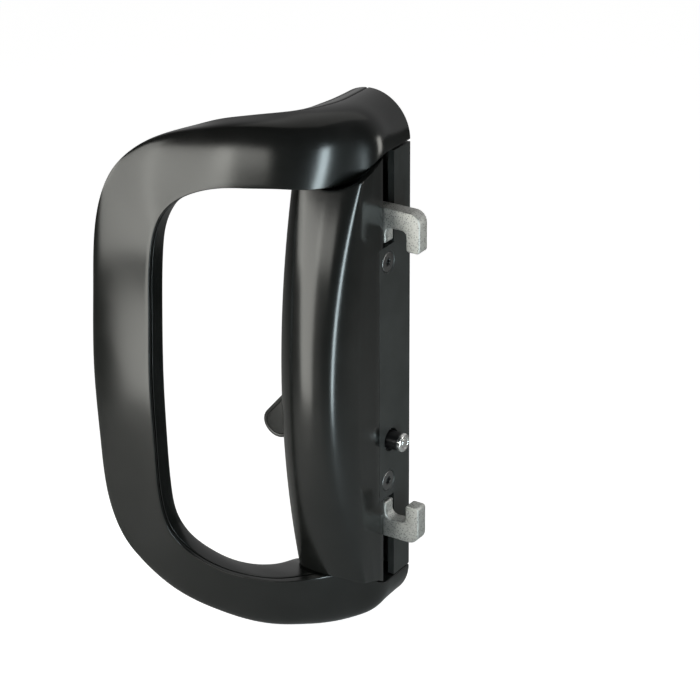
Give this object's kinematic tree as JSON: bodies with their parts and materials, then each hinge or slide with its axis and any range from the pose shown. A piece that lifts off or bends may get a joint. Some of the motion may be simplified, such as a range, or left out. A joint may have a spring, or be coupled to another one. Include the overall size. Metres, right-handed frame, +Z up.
{
  "type": "sliding door lock",
  "caption": "Surface lock for a sliding door, with a D pull, a thumb lever at its side, opposed hook bolts on the edge and an anti-lockout plunger.",
  "frame": {"origin": "middle of the flat back face that lies on the door, level with the lever's spindle", "axes": "+X towards the jamb, the way the hooks stand out; -Y towards the user; +Z up along the lock"},
  "size_m": [0.129, 0.078, 0.237],
  "materials": {
    "black_screw": "black zinc",
    "brass_bush": "turned",
    "bright_steel": "turned and polished",
    "dark_sleeve": "dark oxide",
    "gear_steel": "sintered steel, lightly oiled",
    "rivet_steel": "plain steel",
    "satin_black_lever": "satin black powder coat",
    "satin_black_plate": "satin black powder coat on zinc",
    "satin_black_shell": "satin black powder coat",
    "sintered_steel": "sintered, fine speckle, satin",
    "spring_steel": "drawn wire and strip",
    "zinc_casting": "as cast, matt",
    "zinc_steel": "zinc plated, smooth"
  },
  "bodies": {
    "lock_body": {"handle_front_shell": "satin_black_shell", "handle_back_shell": "satin_black_shell", "base_frame": "satin_black_plate", "lock_cover": "satin_black_shell", "mechanism_chassis": "zinc_casting", "guide_plate": "zinc_steel", "guide_screws": "zinc_steel", "front_bush": "brass_bush", "edge_screws": "black_screw", "handle_screws": "zinc_steel", "cover_screws": "zinc_steel", "shell_screws": "zinc_steel", "snap_spring": "spring_steel", "plunger_spring": "spring_steel"},
    "lever": {"snib_lever": "satin_black_lever", "spindle": "gear_steel", "pinion": "gear_steel", "lever_screw": "black_screw"},
    "upper_bolt": {"upper_hook": "sintered_steel", "upper_slide": "zinc_steel", "upper_rivets": "rivet_steel"},
    "lower_bolt": {"lower_hook": "sintered_steel", "lower_slide": "zinc_steel", "lower_rivets": "rivet_steel"},
    "plunger": {"plunger_pin": "bright_steel", "plunger_sleeve": "dark_sleeve", "plunger_clip": "spring_steel"}
  },
  "joints": [
    {"name": "lever_turn", "type": "hinge", "parent": "lock_body", "child": "lever", "pos_m": [0, -0.03, 0], "axis": [0, 1, 0], "range_deg": [0, 90], "deforming": ["snap_spring"]},
    {"name": "upper_bolt_slide", "type": "slide", "parent": "lock_body", "child": "upper_bolt", "axis": [0, 0, 1], "range_m": [0, 0.01414]},
    {"name": "lower_bolt_slide", "type": "slide", "parent": "lock_body", "child": "lower_bolt", "axis": [0, 0, 1], "range_m": [-0.01414, 0]},
    {"name": "plunger_press", "type": "slide", "parent": "lock_body", "child": "plunger", "axis": [1, 0, 0], "range_m": [-0.0065, 0], "stiffness_N_per_m": 350, "springref_m": 0.004, "deforming": ["plunger_spring"]}
  ],
  "couplings": [
    {"joint": "upper_bolt_slide", "follows": "lever_turn", "m_per_rad": 0.009},
    {"joint": "lower_bolt_slide", "follows": "lever_turn", "m_per_rad": -0.009}
  ]
}
